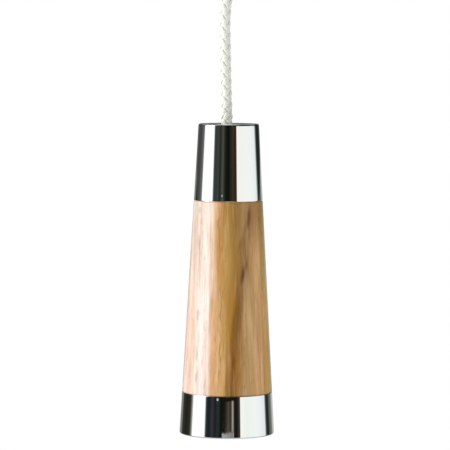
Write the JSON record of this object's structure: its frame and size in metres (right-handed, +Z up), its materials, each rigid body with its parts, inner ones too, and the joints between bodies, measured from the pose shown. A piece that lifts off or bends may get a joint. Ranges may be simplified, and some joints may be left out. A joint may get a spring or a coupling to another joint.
{
  "type": "pull cord switch",
  "caption": "Round ceiling switch with a ratchet mechanism, worked by a hanging braided cord that ends in a tapered oak light pull with chromed ends.",
  "frame": {"origin": "centre of the mounting base's ceiling face, at the cable entry", "axes": "+Z up to the ceiling, -Y front; the cord and the pull hang along -Z"},
  "size_m": [0.0788, 0.0788, 0.2035],
  "materials": {
    "white_moulding": "gloss",
    "frame_moulding": "matt",
    "slider_moulding": "matt",
    "screw_steel": "zinc plated",
    "spring_steel": "bright",
    "brass": "satin",
    "contact_silver": "satin",
    "cord": "braided",
    "chrome": "mirror polish",
    "oak": "clear satin lacquer"
  },
  "bodies": {
    "housing": {"mounting_base": "white_moulding", "cover": "white_moulding", "cover_screws": "screw_steel", "cord_bush": "white_moulding", "mechanism_frame": "frame_moulding", "frame_screws": "screw_steel", "guide_plate": "frame_moulding", "wheel_axle": "spring_steel", "lever_pin": "brass", "terminal_first": "brass", "terminal_second": "brass", "terminal_common": "brass", "earth_terminal": "brass", "terminal_screws": "brass", "fixed_contacts": "contact_silver", "detent_spring": "spring_steel", "detent_rivet": "brass", "return_spring": "spring_steel", "lever_spring": "spring_steel"},
    "slider_body": {"slider": "slider_moulding", "pawl_pin": "spring_steel", "pawl_spring": "spring_steel", "switch_cord_knot": "cord", "switch_cord": "cord"},
    "pawl_body": {"pawl": "spring_steel"},
    "wheel_body": {"ratchet_wheel": "slider_moulding"},
    "lever_body": {"contact_lever": "frame_moulding", "contact_blade": "brass", "moving_contacts": "contact_silver"},
    "short_cord_body": {"hanging_cord": "cord", "hanging_cord_knot": "cord", "connector_top": "white_moulding", "connector_bottom": "white_moulding", "pull_cord_top_knot": "cord", "pull_cord_top": "cord"},
    "long_cord_body": {"pull_cord": "cord", "pull_cord_knot": "cord"},
    "pull_body": {"knot_washer": "spring_steel", "ferrule": "chrome", "oak_body": "oak", "foot_insert": "brass", "foot": "chrome"}
  },
  "joints": [
    {"name": "pull_travel", "type": "slide", "parent": "housing", "child": "slider_body", "axis": [0, 0, -1], "range_m": [0, 0.007], "stiffness_N_per_m": 900, "springref_m": -0.004, "deforming": ["return_spring"]},
    {"name": "pawl_swing", "type": "hinge", "parent": "slider_body", "child": "pawl_body", "pos_m": [0.0045, 0, -0.02268], "axis": [0, 1, 0], "range_deg": [0, 18], "stiffness_Nm_per_rad": 0.002, "springref_deg": -28.65, "deforming": ["pawl_spring"]},
    {"name": "wheel_turn", "type": "hinge", "parent": "housing", "child": "wheel_body", "pos_m": [0.01562, 0, -0.0311], "axis": [0, -1, 0], "range_deg": [0, 45], "deforming": ["detent_spring"]},
    {"name": "lever_rock", "type": "hinge", "parent": "housing", "child": "lever_body", "pos_m": [0.02158, 0, -0.02159], "axis": [0, -1, 0], "range_deg": [0, 11.53], "deforming": ["lever_spring"]},
    {"name": "short_cord_swing", "type": "hinge", "parent": "slider_body", "child": "short_cord_body", "pos_m": [0, 0, -0.05217], "axis": [0, 1, 0], "range_deg": [-30, 30]},
    {"name": "long_cord_swing", "type": "hinge", "parent": "short_cord_body", "child": "long_cord_body", "pos_m": [0, 0, -0.08628], "axis": [1, 0, 0], "range_deg": [-30, 30]},
    {"name": "pull_turn", "type": "hinge", "parent": "long_cord_body", "child": "pull_body", "pos_m": [0, 0, -0.18825], "axis": [0, 0, 1], "continuous": true}
  ],
  "couplings": [
    {"joint": "wheel_turn", "follows": "pull_travel", "rad_per_m": 112.2},
    {"joint": "lever_rock", "follows": "pull_travel", "rad_per_m": 28.758}
  ]
}
